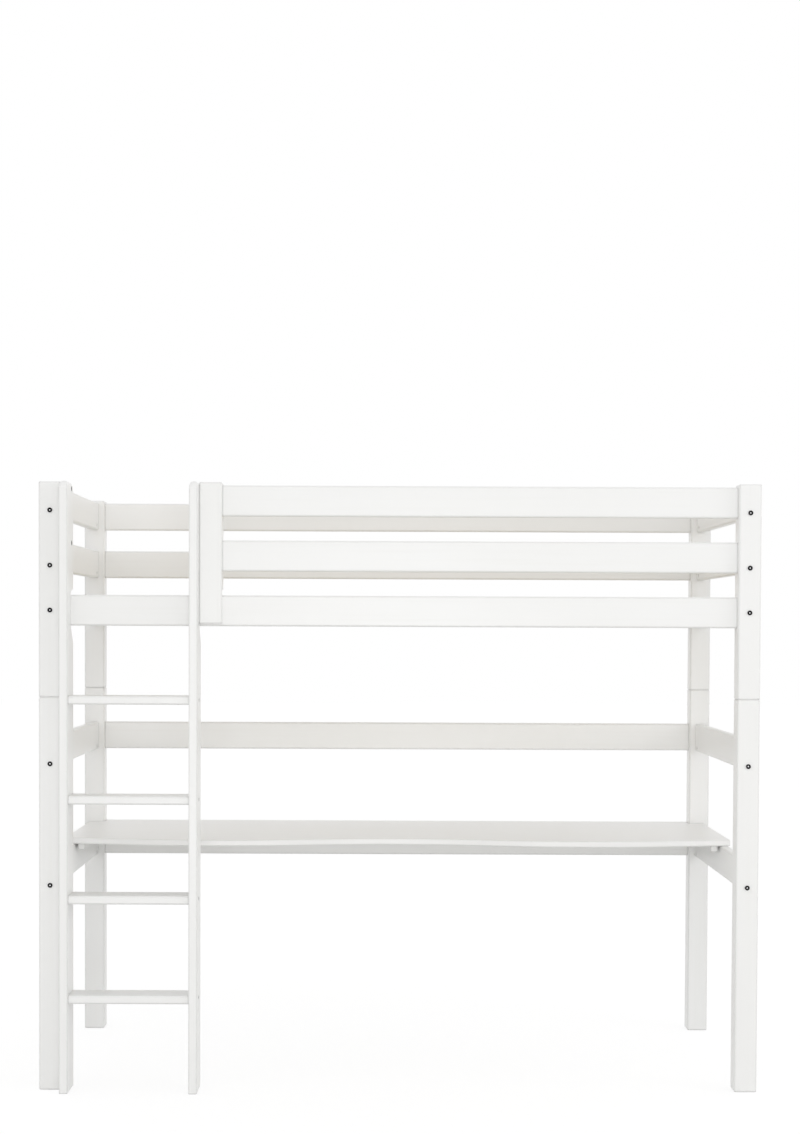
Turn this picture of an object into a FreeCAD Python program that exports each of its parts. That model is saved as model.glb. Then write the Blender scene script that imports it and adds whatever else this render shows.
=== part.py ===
import FreeCAD, Part
import os
import re
import Sketcher

# Loft bed with a desk below it, a fixed ladder at the left and a slatted base.
# Millimetres, with +X along the bed to the right, +Y from front to back and +Z up.
# The origin is on the floor, below the centre of the whole outline.

Vector = FreeCAD.Vector
doc = FreeCAD.newDocument("LoftBed")
sheet = doc.addObject("Spreadsheet::Sheet", "Sizes")

SIZES = [
    ("bed_length", 2100, "over the outer faces of the posts"),
    ("bed_width", 1000, "over the outer faces of the posts"),
    ("bed_height", 1776, "floor to the tops of the posts"),
    ("fit_gap", 0.3, "room round a piece that sits in a recess"),
    # posts
    ("post_width", 66, "square section"),
    ("post_edge", 3, "bevel of the upright edges"),
    ("post_end", 3, "bevel at the ends, which makes the groove at the split"),
    ("post_split", 1150, "height of the joint between lower and upper posts"),
    ("pin_width", 20, "pin that joins the two, across its corners"),
    ("pin_length", 120, "half of it in each post"),
    # rails
    ("rail_height", 90, ""),
    ("rail_thickness", 28, ""),
    ("rail_edge", 4, "bevel of the long edges"),
    ("rail_pitch", 160, "from one rail of the bed to the next"),
    ("top_rail_drop", 8, "top rails below the tops of the posts"),
    ("brace_rail_bottom", 945, "height above the floor"),
    ("desk_rail_bottom", 590, "height above the floor"),
    ("tenon_length", 12, "stub tenon on each rail end"),
    ("tenon_thickness", 12, ""),
    ("tenon_height", 46, ""),
    # bolts and barrel nuts
    ("bolt_width", 6.5, "shank across its corners"),
    ("bolt_head_width", 14, "across its corners"),
    ("bolt_head_height", 4, ""),
    ("socket_width", 6, "across its corners"),
    ("socket_depth", 2.5, ""),
    ("guard_bolt_rise", 15, "end bolts of the top and middle rails, above the rail's bottom"),
    ("bed_bolt_rise", 45, "end bolts of the bed rails"),
    ("lower_bolt_rise", 10.5, "end bolts of the brace and desk rails"),
    ("side_bolt_rise", 60, "bolts of the long rails"),
    ("nut_width", 10, "across its corners"),
    ("nut_length", 20, ""),
    ("nut_setback", 38, "nut's axis from the rail's shoulder"),
    ("nut_inset", 1, "nut below the rail's face"),
    # ladder
    ("ladder_width", 400, "over the stiles"),
    ("stile_thickness", 25, ""),
    ("stile_proud", 52, "stile in front of the posts"),
    ("stile_edge", 4, "bevel of the long and top edges"),
    ("stile_top_round", 25, "radius of the top corners, seen from the side"),
    ("notch_above", 8, "notch above the bed rail, before its slope"),
    ("notch_slope_above", 10, "height of the upper slope"),
    ("notch_below", 3, "notch below the bed rail, before its slope"),
    ("notch_slope_below", 48, "height of the lower slope"),
    ("notch_round", 14, "radius in the notch's corners"),
    ("rung_thickness", 25, ""),
    ("rung_depth", 100, ""),
    ("rung_edge", 4, "bevel of the long edges"),
    ("rung_set_in", 10, "rung's nose behind the front of the stile"),
    ("rung_tenon_length", 12, "stub tenon on each rung end"),
    ("rung_tenon_depth", 70, "along the rung's own depth"),
    ("rung_tenon_thickness", 13, ""),
    ("rung_first_top", 285, "height of the lowest rung's top"),
    ("rung_step", 290, ""),
    ("ladder_bolt_drop", 19, "upper bolts below the tops of the posts"),
    ("ladder_bolt_pitch", 158, "upper bolts to lower bolts"),
    ("ladder_bolt_inset", 36, "bolts behind the front faces of the posts"),
    ("insert_width", 12, "threaded insert across its corners"),
    ("insert_length", 18, ""),
    # stanchion
    ("stanchion_rise", 8, "bottom end above the bed rail's bottom"),
    ("stanchion_gap", 18, "notch above the bed rail's top"),
    ("stanchion_screw_pitch", 36, ""),
    # desk
    ("desk_thickness", 20, ""),
    ("desk_depth", 626, "back edge to the middle line of the waved front"),
    ("desk_wave", 33, "how far the front swings either side of that line"),
    ("desk_wave_span", 580, "along one swing"),
    ("desk_back_inset", 2, "back edge in front of the rear posts' back faces"),
    ("desk_end_lap", 4.5, "desk past the outer faces of the end rails"),
    ("desk_post_gap", 1, "room round the rear posts"),
    ("desk_edge", 3, "bevel of the front and end edges"),
    ("desk_corner", 10, "radius of the front corners"),
    ("cleat_width", 22, ""),
    ("cleat_height", 19, ""),
    ("cleat_gap", 7, "from the end rail to the cleat"),
    ("cleat_inset", 12, "front end behind the desk's front edge"),
    ("cleat_length", 480, ""),
    # slatted base
    ("ledge_width", 22, ""),
    ("ledge_height", 30, ""),
    ("ledge_rise", 6, "ledge above the bed rail's bottom"),
    ("slat_width", 95, ""),
    ("slat_thickness", 18, ""),
    ("slat_bevel", 2, ""),
    ("slat_end_gap", 2, "room at each end of a slat or ledge"),
    ("slat_first_gap", 20, "from the posts to the first slat"),
    # screws
    ("screw_width", 5, "shank across its corners"),
    ("screw_head_width", 9, "across its corners"),
    ("screw_head_height", 3, ""),
    ("screw_hold", 14, "how deep a screw bites into what it holds"),
    ("screw_end_gap", 60, "from a ledge's or cleat's end to its first screw"),
]
SLAT_COUNT = 12
RUNG_COUNT = 4
LEDGE_SCREW_COUNT = 3
HEX_SIDES = 6
HEAD_SIDES = 8
NEAR = 1e-4

for row, (alias, size, note) in enumerate(SIZES, 1):
    sheet.set(f"A{row}", alias)
    sheet.set(f"B{row}", str(size))
    sheet.setAlias(f"B{row}", alias)
    sheet.set(f"C{row}", note)
doc.recompute()

ALIASES = re.compile(r"\b(" + "|".join(alias for alias, size, note in SIZES) + r")\b")
ALONG_X = Vector(1, 0, 0)
ALONG_Y = Vector(0, 1, 0)
ALONG_Z = Vector(0, 0, 1)


def bound(text):
    """The expression with every size named as a cell of the sheet."""
    return ALIASES.sub(r"Sizes.\1", text)


def value(text):
    return float(sheet.evalExpression(bound(text)))


def bind(thing, **properties):
    """Tie properties to expressions; a double underscore stands for a dot."""
    for name, text in properties.items():
        thing.setExpression(name.replace("__", "."), bound(text))


def place(thing, x, y, z, turn=0):
    """Stand a piece at a bound place, turned about the upright axis."""
    thing.Placement = FreeCAD.Placement(Vector(value(x), value(y), value(z)), FreeCAD.Rotation(turn, 0, 0))
    bind(thing, Placement__Base__x=x, Placement__Base__y=y, Placement__Base__z=z)


# Places worked out from the sizes

HALF = "(bed_length / 2)"
FRONT = "(stile_proud - (bed_width + stile_proud + bolt_head_height) / 2)"
BACK = f"({FRONT} + bed_width)"
POST_X = f"({HALF} - post_width / 2)"
FRONT_Y = f"({FRONT} + post_width / 2)"
REAR_Y = f"({BACK} - post_width / 2)"
MIDDLE_Y = f"({FRONT} + bed_width / 2)"
RAIL_SETBACK = "((post_width - rail_thickness) / 2)"
TOP_BOTTOM = "(bed_height - top_rail_drop - rail_height)"
BED_BOTTOM = f"({TOP_BOTTOM} - 2 * rail_pitch)"
BED_TOP = f"({BED_BOTTOM} + rail_height)"
SIDE_LENGTH = "(bed_length - 2 * post_width)"
END_LENGTH = "(bed_width - 2 * post_width)"
STILE_X = {
    "left": f"(-{HALF} + post_width + stile_thickness / 2)",
    "right": f"(-{HALF} + post_width + ladder_width - stile_thickness / 2)",
}
STANCHION_X = f"(-{HALF} + post_width + ladder_width + post_width / 2)"
STANCHION_BASE = f"({BED_BOTTOM} + stanchion_rise)"
GUARD_LENGTH = f"({POST_X} - {STANCHION_X} - post_width)"
GUARD_X = f"(({POST_X} + {STANCHION_X}) / 2)"
UPPER_LADDER_BOLT = "(bed_height - ladder_bolt_drop)"
LADDER_BOLT_HEIGHTS = [UPPER_LADDER_BOLT, f"({UPPER_LADDER_BOLT} - ladder_bolt_pitch)"]
BOLT_LENGTH = "(post_width + nut_setback + nut_width / 4)"
LADDER_BOLT_LENGTH = "(stile_thickness - bolt_head_height + insert_length)"
DESK_BOTTOM = "(desk_rail_bottom + rail_height)"
DESK_BACK_Y = f"({BACK} - desk_back_inset)"
DESK_END_X = f"({POST_X} + rail_thickness / 2 + desk_end_lap)"

# Half widths of the bores
SHANK_BORE = "(bolt_width / 2 + fit_gap)"
HEAD_BORE = "(bolt_head_width / 2 + fit_gap)"
NUT_BORE = "(nut_width / 2 + fit_gap)"
INSERT_BORE = "(insert_width / 2 + fit_gap)"
PIN_BORE = "(pin_width / 2 + fit_gap)"
SCREW_BORE = "(screw_width / 2 + fit_gap)"
SCREW_HEAD_BORE = "(screw_head_width / 2 + fit_gap)"

# Bottom of each level of rails, and how far its end bolts are above that
LEVELS = {
    "top": (TOP_BOTTOM, "guard_bolt_rise"),
    "middle": (f"({TOP_BOTTOM} - rail_pitch)", "guard_bolt_rise"),
    "bed": (BED_BOTTOM, "bed_bolt_rise"),
    "brace": ("brace_rail_bottom", "lower_bolt_rise"),
    "desk": ("desk_rail_bottom", "lower_bolt_rise"),
}
GUARD_LEVELS = ["top", "middle"]
UPPER_LEVELS = ["top", "middle", "bed"]
LOWER_LEVELS = ["brace", "desk"]

nodes = []


def node(label, thing):
    thing.Label = label
    nodes.append(thing)
    return thing


# Sketches and features

def new_body(label):
    return node(label, doc.addObject("PartDesign::Body", label))


def origin_plane(body, role):
    return next(part for part in body.Origin.OriginFeatures if part.Role == role)


def new_sketch(body, plane, offset="0"):
    """A sketch on one of the body's own origin planes, moved along the plane's normal."""
    sketch = body.newObject("Sketcher::SketchObject", "Sketch")
    sketch.AttachmentSupport = [(origin_plane(body, plane), "")]
    sketch.MapMode = "FlatFace"
    bind(sketch, AttachmentOffset__Base__z=offset)
    return sketch


def hold_point(sketch, geometry, point, axis, text):
    """Hold one point of a line, arc or circle at a bound distance along one axis of the sketch."""
    if abs(value(text)) < NEAR:
        zero_axis = -2 if axis == "X" else -1
        sketch.addConstraint(Sketcher.Constraint("PointOnObject", geometry, point, zero_axis))
    else:
        distance = Sketcher.Constraint(f"Distance{axis}", -1, 1, geometry, point, value(text))
        sketch.setExpression(f"Constraints[{sketch.addConstraint(distance)}]", bound(text))


def pin_point(sketch, geometry, point, x, y):
    hold_point(sketch, geometry, point, "X", x)
    hold_point(sketch, geometry, point, "Y", y)


def flat_point(x, y):
    return Vector(value(x), value(y), 0)


def turn_of(reach):
    """Angle of a flat vector from the X axis, against the clock."""
    turn = ALONG_X.getAngle(reach)
    return turn if reach.y >= 0 else -turn


def draw_outline(sketch, corners, arcs=None):
    """A closed outline through bound corners.

    arcs gives, for the number of the corner that a round side starts from, the side's centre,
    its radius and whether it turns against the clock. Every other side is straight.
    """
    sides = []
    for number, start in enumerate(corners):
        begin, finish = flat_point(*start), flat_point(*corners[(number + 1) % len(corners)])
        if arcs and number in arcs:
            centre, radius, against_clock = arcs[number]
            middle = flat_point(*centre)
            turns = [turn_of(begin - middle), turn_of(finish - middle)]
            first, last = (1, 2) if against_clock else (2, 1)
            circle = Part.Circle(middle, ALONG_Z, value(radius))
            side = sketch.addGeometry(Part.ArcOfCircle(circle, turns[first - 1], turns[last - 1]), False)
            # its ends are pinned below, so its centre is held only across the chord
            chord = finish - begin
            across = "X" if abs(chord.x) < abs(chord.y) else "Y"
            hold_point(sketch, side, 3, across, centre[0] if across == "X" else centre[1])
        else:
            first, last = 1, 2
            side = sketch.addGeometry(Part.LineSegment(begin, finish), False)
        sides.append((side, first, last))
    for corner, (side, first, last), following in zip(corners, sides, sides[1:] + sides[:1]):
        sketch.addConstraint(Sketcher.Constraint("Coincident", side, last, following[0], following[1]))
        pin_point(sketch, side, first, *corner)


def draw_rectangle(sketch, left, right, low, high):
    draw_outline(sketch, [(left, low), (right, low), (right, high), (left, high)])


def draw_regular(sketch, x, y, radius, sides):
    """Equal sides, with one corner level with the middle."""
    corners = []
    for side in range(sides):
        turn = side * 360 / sides
        corners.append((f"{x} + {radius} * cos({turn} deg)", f"{y} + {radius} * sin({turn} deg)"))
    draw_outline(sketch, corners)


def add_pad(body, sketch, length, symmetric=False):
    pad = body.newObject("PartDesign::Pad", "Pad")
    pad.Profile = sketch
    pad.SideType = "Symmetric" if symmetric else "One side"
    bind(pad, Length=length)
    doc.recompute()
    return pad


def add_pocket(body, sketch, depth=None, forwards=False):
    """Cut a sketch to a depth, against its normal or along it, or right through both ways."""
    before = body.Shape.Volume
    pocket = body.newObject("PartDesign::Pocket", "Pocket")
    pocket.Profile = sketch
    if depth is None:
        pocket.SideType = "Symmetric"
        pocket.Type = "ThroughAll"
    else:
        pocket.Reversed = forwards
        bind(pocket, Length=depth)
    doc.recompute()
    if body.Shape.Volume > before - NEAR:
        raise RuntimeError(f"{body.Label}: a pocket cut nothing")
    return pocket


def add_bores(body, plane, offset, places, radius, depth=None, forwards=False, sides=HEX_SIDES):
    """Cut equal bores at bound places of a plane."""
    sketch = new_sketch(body, plane, offset)
    for x, y in places:
        draw_regular(sketch, x, y, radius, sides)
    return add_pocket(body, sketch, depth, forwards)


def add_mirrored(body, features):
    """Repeat features at the other end of a piece that lies along X."""
    mirrored = body.newObject("PartDesign::Mirrored", "Mirrored")
    mirrored.Originals = features
    mirrored.MirrorPlane = (origin_plane(body, "YZ_Plane"), [""])
    body.Tip = mirrored
    doc.recompute()


def dress(body, kind, base, chosen, **sizes):
    """A fillet or chamfer on the chosen edges of a feature."""
    names = [f"Edge{number}" for number, edge in enumerate(base.Shape.Edges, 1) if chosen(edge)]
    feature = body.newObject(f"PartDesign::{kind}", kind)
    feature.Base = (base, names)
    bind(feature, **sizes)
    doc.recompute()
    return feature


def straight_along(edge, axis):
    if edge.Curve.TypeId != "Part::GeomLine":
        return False
    return abs(abs(edge.tangentAt(edge.FirstParameter) * axis) - 1) < NEAR


def level_at(edge, *heights):
    box = edge.BoundBox
    return any(abs(box.ZMin - height) < NEAR and abs(box.ZMax - height) < NEAR for height in heights)


def aimed(direction, level):
    """A rotation that takes +Z to a direction and +X to a level one."""
    return FreeCAD.Rotation(level, Vector(), direction, "ZXY")


def spot(x, y, z, direction, level):
    """Where a fastener goes: its head's seat, and the way it points."""
    return FreeCAD.Placement(Vector(value(x), value(y), value(z)), aimed(direction, level))


end_bolt_spots = []
side_bolt_spots = []
sunk_bolt_spots = []
nut_spots = []
frame_screw_spots = []


# Rails, each along its own X axis with its bottom at zero and its barrel nuts let in from its +Y face

def make_rail(label, length, level, rise, x, y, turn, bolt_spots, left_head_sunk="0"):
    body = new_body(label)
    section = new_sketch(body, "YZ_Plane")
    draw_rectangle(section, "-rail_thickness / 2", "rail_thickness / 2", "0", "rail_height")
    bar = add_pad(body, section, length, symmetric=True)
    dress(body, "Chamfer", bar, lambda edge: straight_along(edge, ALONG_X), Size="rail_edge")

    shoulder = new_sketch(body, "YZ_Plane", f"{length} / 2")
    low, high = "(rail_height - tenon_height) / 2", "(rail_height + tenon_height) / 2"
    draw_rectangle(shoulder, "-tenon_thickness / 2", "tenon_thickness / 2", low, high)
    tenon = add_pad(body, shoulder, "tenon_length")
    depth = "tenon_length + nut_setback"
    bore = add_bores(body, "YZ_Plane", f"{length} / 2 + tenon_length", [("0", rise)], SHANK_BORE, depth)
    nut_x = f"({length} / 2 - nut_setback)"
    depth = "nut_inset + nut_length + fit_gap"
    seat = add_bores(body, "XZ_Plane", "-rail_thickness / 2", [(nut_x, rise)], NUT_BORE, depth, forwards=True)
    add_mirrored(body, [tenon, bore, seat])
    place(body, x, y, LEVELS[level][0], turn)

    for end, sunk in ((1, "0"), (-1, left_head_sunk)):
        head_x = f"{end} * ({length} / 2 + post_width - {sunk})"
        spots = bolt_spots if sunk == "0" else sunk_bolt_spots
        spots.append(body.Placement * spot(head_x, "0", rise, ALONG_X * -end, ALONG_Y))
        nut_spots.append(body.Placement * spot(f"{end} * {nut_x}", "0", rise, ALONG_Y, ALONG_X))
    return body


rails = {}
for level, (bottom, end_rise) in LEVELS.items():
    for side, x, turn in (("left", f"-{POST_X}", -90), ("right", POST_X, 90)):
        label = f"{level}_rail_{side}"
        rails[label] = make_rail(label, END_LENGTH, level, end_rise, x, MIDDLE_Y, turn, end_bolt_spots)
    label = f"{level}_rail_rear"
    rails[label] = make_rail(label, SIDE_LENGTH, level, "side_bolt_rise", "0", REAR_Y, 0, side_bolt_spots)
for level in GUARD_LEVELS:
    label = f"{level}_rail_front"
    sizes = (GUARD_LENGTH, level, "side_bolt_rise", GUARD_X, FRONT_Y, 0)
    rails[label] = make_rail(label, *sizes, side_bolt_spots, left_head_sunk="bolt_head_height")
sizes = (SIDE_LENGTH, "bed", "side_bolt_rise", "0", FRONT_Y, 0)
rails["bed_rail_front"] = make_rail("bed_rail_front", *sizes, side_bolt_spots)


# Posts, each with its own axis and lower end at zero

def add_mortises(body, plane, inward, levels, base):
    """Seats for the stub tenons in the face that a set of rails meets."""
    along_normal = (inward > 0) == (plane == "YZ_Plane")
    sketch = new_sketch(body, plane, "post_width / 2" if along_normal else "-post_width / 2")
    reach = "(tenon_thickness / 2 + fit_gap)"
    for level in levels:
        middle = f"({LEVELS[level][0]} + rail_height / 2 - {base})"
        low, high = f"{middle} - tenon_height / 2 - fit_gap", f"{middle} + tenon_height / 2 + fit_gap"
        draw_rectangle(sketch, f"-{reach}", reach, low, high)
    add_pocket(body, sketch, "tenon_length + fit_gap", forwards=not along_normal)


def make_post(label, base, height, x, y, inward_x, inward_y, end_levels, side_levels, pin_end):
    body = new_body(label)
    section = new_sketch(body, "XY_Plane")
    draw_rectangle(section, "-post_width / 2", "post_width / 2", "-post_width / 2", "post_width / 2")
    leg = add_pad(body, section, height)
    eased = dress(body, "Chamfer", leg, lambda edge: straight_along(edge, ALONG_Z), Size="post_edge")
    dress(body, "Chamfer", eased, lambda edge: level_at(edge, 0, value(height)), Size="post_end")

    places = [("0", f"({LEVELS[level][0]} + {LEVELS[level][1]} - {base})") for level in end_levels]
    add_bores(body, "XZ_Plane", "0", places, SHANK_BORE)
    add_mortises(body, "XZ_Plane", inward_y, end_levels, base)
    if side_levels:
        places = [("0", f"({LEVELS[level][0]} + side_bolt_rise - {base})") for level in side_levels]
        add_bores(body, "YZ_Plane", "0", places, SHANK_BORE)
        add_mortises(body, "YZ_Plane", inward_x, side_levels, base)
    upwards = pin_end == "0"
    depth = "pin_length / 2 + fit_gap"
    add_bores(body, "XY_Plane", pin_end, [("0", "0")], PIN_BORE, depth, upwards)
    place(body, x, y, base)
    return body


upper_posts = {}
pin_spots = []
for side, x, inward_x in (("left", f"-{POST_X}", 1), ("right", POST_X, -1)):
    for row, y, inward_y in (("front", FRONT_Y, 1), ("rear", REAR_Y, -1)):
        corner = (x, y, inward_x, inward_y)
        below = LOWER_LEVELS if row == "rear" else []
        above = ["bed"] if (row, side) == ("front", "left") else UPPER_LEVELS
        make_post(f"lower_post_{row}_{side}", "0", "post_split", *corner, LOWER_LEVELS, below, "post_split")
        label, height = f"upper_post_{row}_{side}", "(bed_height - post_split)"
        upper_posts[row, side] = make_post(label, "post_split", height, *corner, UPPER_LEVELS, above, "0")
        pin_spots.append(spot(x, y, "post_split - pin_length / 2", ALONG_Z, ALONG_X))

insert_y = "(ladder_bolt_inset - post_width / 2)"
places = [(insert_y, f"({height} - post_split)") for height in LADDER_BOLT_HEIGHTS]
ladder_post = upper_posts["front", "left"]
add_bores(ladder_post, "YZ_Plane", "post_width / 2", places, INSERT_BORE, "insert_length + fit_gap")


# Guard stanchion, which laps the front of the bed rail

stanchion = new_body("guard_stanchion")
stanchion_height = f"(bed_height - {STANCHION_BASE})"
tongue_back = f"({RAIL_SETBACK} - post_width / 2)"
notch_top = f"({BED_TOP} + stanchion_gap - {STANCHION_BASE})"
outline = new_sketch(stanchion, "YZ_Plane")
draw_outline(outline, [
    ("-post_width / 2", "0"),
    (tongue_back, "0"),
    (tongue_back, notch_top),
    ("post_width / 2", notch_top),
    ("post_width / 2", stanchion_height),
    ("-post_width / 2", stanchion_height),
])
leg = add_pad(stanchion, outline, "post_width", symmetric=True)
outer_y = value("post_width / 2")
eased = dress(
    stanchion, "Chamfer", leg,
    lambda edge: straight_along(edge, ALONG_Z) and abs(abs(edge.BoundBox.YMin) - outer_y) < NEAR,
    Size="post_edge",
)
top = value(stanchion_height)
dress(stanchion, "Chamfer", eased, lambda edge: level_at(edge, top), Size="post_end")
places = [("0", f"({LEVELS[level][0]} + side_bolt_rise - {STANCHION_BASE})") for level in GUARD_LEVELS]
add_bores(stanchion, "YZ_Plane", "0", places, SHANK_BORE)
face = "-post_width / 2"
add_bores(stanchion, "YZ_Plane", face, places, HEAD_BORE, "bolt_head_height", True, HEAD_SIDES)
add_mortises(stanchion, "YZ_Plane", 1, GUARD_LEVELS, STANCHION_BASE)
places = [(insert_y, f"({height} - {STANCHION_BASE})") for height in LADDER_BOLT_HEIGHTS]
add_bores(stanchion, "YZ_Plane", face, places, INSERT_BORE, "insert_length + fit_gap", forwards=True)
place(stanchion, STANCHION_X, FRONT_Y, STANCHION_BASE)

# Its two screws come through the bed rail from behind
rises = ["((rail_height - stanchion_screw_pitch) / 2)", "((rail_height + stanchion_screw_pitch) / 2)"]
places = [(STANCHION_X, rise) for rise in rises]
bed_rail = rails["bed_rail_front"]
add_bores(bed_rail, "XZ_Plane", "0", places, SCREW_BORE)
face = "-rail_thickness / 2"
add_bores(bed_rail, "XZ_Plane", face, places, SCREW_HEAD_BORE, "screw_head_height", forwards=True)
places = [("0", f"({rise} - stanchion_rise)") for rise in rises]
add_bores(stanchion, "XZ_Plane", f"-{tongue_back}", places, SCREW_BORE, "screw_hold + fit_gap", forwards=True)
for rise in rises:
    head = spot(STANCHION_X, f"{FRONT_Y} + rail_thickness / 2", f"{BED_BOTTOM} + {rise}", -ALONG_Y, ALONG_X)
    frame_screw_spots.append(("rail_thickness + screw_hold", head))


# Ladder, drawn from the side with zero at the floor and level with the posts' front faces

RUNG_TOPS = [f"(rung_first_top + {number} * rung_step)" for number in range(RUNG_COUNT)]
RUNG_Y = "(rung_set_in + rung_depth / 2 - stile_proud)"
RUNG_LENGTH = "(ladder_width - 2 * stile_thickness)"
STILE_BACK = "post_width"
RUNG_MIDDLES = [f"({top} - rung_thickness / 2)" for top in RUNG_TOPS]

ladder_bolt_spots = []
insert_spots = []


def draw_rung_tenon(sketch, middle, gap):
    """A rung tenon's section, or with a gap round it the section of its mortise."""
    reach, rise = f"(rung_tenon_depth / 2 + {gap})", f"(rung_tenon_thickness / 2 + {gap})"
    draw_rectangle(
        sketch, f"{RUNG_Y} - {reach}", f"{RUNG_Y} + {reach}", f"{middle} - {rise}", f"{middle} + {rise}"
    )


def make_stile(side, inward):
    body = new_body(f"ladder_stile_{side}")
    slope_low = f"({BED_BOTTOM} - notch_below - notch_slope_below)"
    slope_high = f"({BED_TOP} + notch_above + notch_slope_above)"
    outline = new_sketch(body, "YZ_Plane")
    draw_outline(outline, [
        ("-stile_proud", "0"),
        (STILE_BACK, "0"),
        (STILE_BACK, slope_low),
        (RAIL_SETBACK, f"{BED_BOTTOM} - notch_below"),
        (RAIL_SETBACK, f"{BED_TOP} + notch_above"),
        (STILE_BACK, slope_high),
        (STILE_BACK, "bed_height"),
        ("-stile_proud", "bed_height"),
    ])
    board = add_pad(body, outline, "stile_thickness", symmetric=True)
    top, notch_y = value("bed_height"), value(RAIL_SETBACK)
    domed = dress(
        body, "Fillet", board,
        lambda edge: straight_along(edge, ALONG_X) and level_at(edge, top),
        Radius="stile_top_round",
    )
    eased = dress(
        body, "Fillet", domed,
        lambda edge: straight_along(edge, ALONG_X) and abs(edge.BoundBox.YMin - notch_y) < NEAR,
        Radius="notch_round",
    )
    front, low, high = value("-stile_proud"), value(slope_low), value(slope_high)

    def long_or_top(edge):
        box = edge.BoundBox
        lower_back = box.ZMax < low + NEAR and box.ZLength > NEAR
        return box.XLength < NEAR and (box.YMax < front + NEAR or box.ZMin > high - NEAR or lower_back)

    dress(body, "Chamfer", eased, long_or_top, Size="stile_edge")

    half = "stile_thickness / 2"
    inner, outer = (half, f"-{half}") if inward > 0 else (f"-{half}", half)
    seats = new_sketch(body, "YZ_Plane", inner)
    for middle in RUNG_MIDDLES:
        draw_rung_tenon(seats, middle, "fit_gap")
    add_pocket(body, seats, "rung_tenon_length + fit_gap", forwards=inward < 0)
    places = [("ladder_bolt_inset", height) for height in LADDER_BOLT_HEIGHTS]
    add_bores(body, "YZ_Plane", "0", places, SHANK_BORE)
    add_bores(body, "YZ_Plane", inner, places, HEAD_BORE, "bolt_head_height", inward < 0, HEAD_SIDES)
    place(body, STILE_X[side], FRONT, "0")

    seat_x = f"{STILE_X[side]} + {inner} - {inward} * bolt_head_height"
    outer_x = f"{STILE_X[side]} + {outer}"
    for height in LADDER_BOLT_HEIGHTS:
        bolt_y = f"{FRONT} + ladder_bolt_inset"
        ladder_bolt_spots.append(spot(seat_x, bolt_y, height, ALONG_X * -inward, ALONG_Y))
        insert_spots.append(spot(outer_x, bolt_y, height, ALONG_X * -inward, ALONG_Y))


make_stile("left", 1)
make_stile("right", -1)

for number, top in enumerate(RUNG_TOPS, 1):
    rung = new_body(f"ladder_rung_{number}")
    section = new_sketch(rung, "YZ_Plane")
    draw_rectangle(section, f"{RUNG_Y} - rung_depth / 2", f"{RUNG_Y} + rung_depth / 2", "0", "rung_thickness")
    bar = add_pad(rung, section, RUNG_LENGTH, symmetric=True)
    dress(rung, "Chamfer", bar, lambda edge: straight_along(edge, ALONG_X), Size="rung_edge")
    shoulder = new_sketch(rung, "YZ_Plane", f"{RUNG_LENGTH} / 2")
    draw_rung_tenon(shoulder, "(rung_thickness / 2)", "0")
    tenon = add_pad(rung, shoulder, "rung_tenon_length")
    add_mirrored(rung, [tenon])
    place(rung, f"({STILE_X['left']} + {STILE_X['right']}) / 2", FRONT, f"{top} - rung_thickness")


# Desk top, its zero at the middle of its back edge
# The front swings in equal arcs: a hollow in the middle, a bulge each side and a hollow at each end.

half_swing = "(desk_wave_span / 2)"
swing_radius = f"(({half_swing} ^ 2 + desk_wave ^ 2) / (2 * desk_wave))"
hollow_centre = f"(desk_wave - desk_depth - {swing_radius})"
bulge_centre = f"({swing_radius} - desk_depth - desk_wave)"
end_reach = f"(4 * {half_swing} - {DESK_END_X})"
end_y = f"({hollow_centre} + sqrt({swing_radius} ^ 2 - {end_reach} ^ 2))"
post_notch_x = f"({HALF} - post_width - desk_post_gap)"
post_notch_y = "(desk_back_inset - post_width - desk_post_gap)"

desk = new_body("desk_top")
outline = new_sketch(desk, "XY_Plane")
corners = [
    (f"-{post_notch_x}", post_notch_y),
    (f"-{DESK_END_X}", post_notch_y),
    (f"-{DESK_END_X}", end_y),
    (f"-3 * {half_swing}", "-desk_depth"),
    (f"-{half_swing}", "-desk_depth"),
    (half_swing, "-desk_depth"),
    (f"3 * {half_swing}", "-desk_depth"),
    (DESK_END_X, end_y),
    (DESK_END_X, post_notch_y),
    (post_notch_x, post_notch_y),
    (post_notch_x, "0"),
    (f"-{post_notch_x}", "0"),
]
draw_outline(outline, corners, {
    2: ((f"-4 * {half_swing}", hollow_centre), swing_radius, False),
    3: ((f"-2 * {half_swing}", bulge_centre), swing_radius, True),
    4: (("0", hollow_centre), swing_radius, False),
    5: ((f"2 * {half_swing}", bulge_centre), swing_radius, True),
    6: ((f"4 * {half_swing}", hollow_centre), swing_radius, False),
})
board = add_pad(desk, outline, "desk_thickness")
corner_x, corner_y = value(DESK_END_X), value(end_y)


def front_corner(edge):
    box = edge.BoundBox
    at_corner = abs(abs(box.XMin) - corner_x) < NEAR and abs(box.YMin - corner_y) < NEAR
    return at_corner and straight_along(edge, ALONG_Z)


cornered = dress(desk, "Fillet", board, front_corner, Radius="desk_corner")
top, notch_y = value("desk_thickness"), value(post_notch_y)
dress(
    desk, "Chamfer", cornered,
    lambda edge: level_at(edge, 0, top) and edge.BoundBox.YMin < notch_y - NEAR,
    Size="desk_edge",
)
place(desk, "0", DESK_BACK_Y, DESK_BOTTOM)


# Cleats, screwed under the desk just inside the end rails
# Each has its zero in the middle of its lower face.

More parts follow.
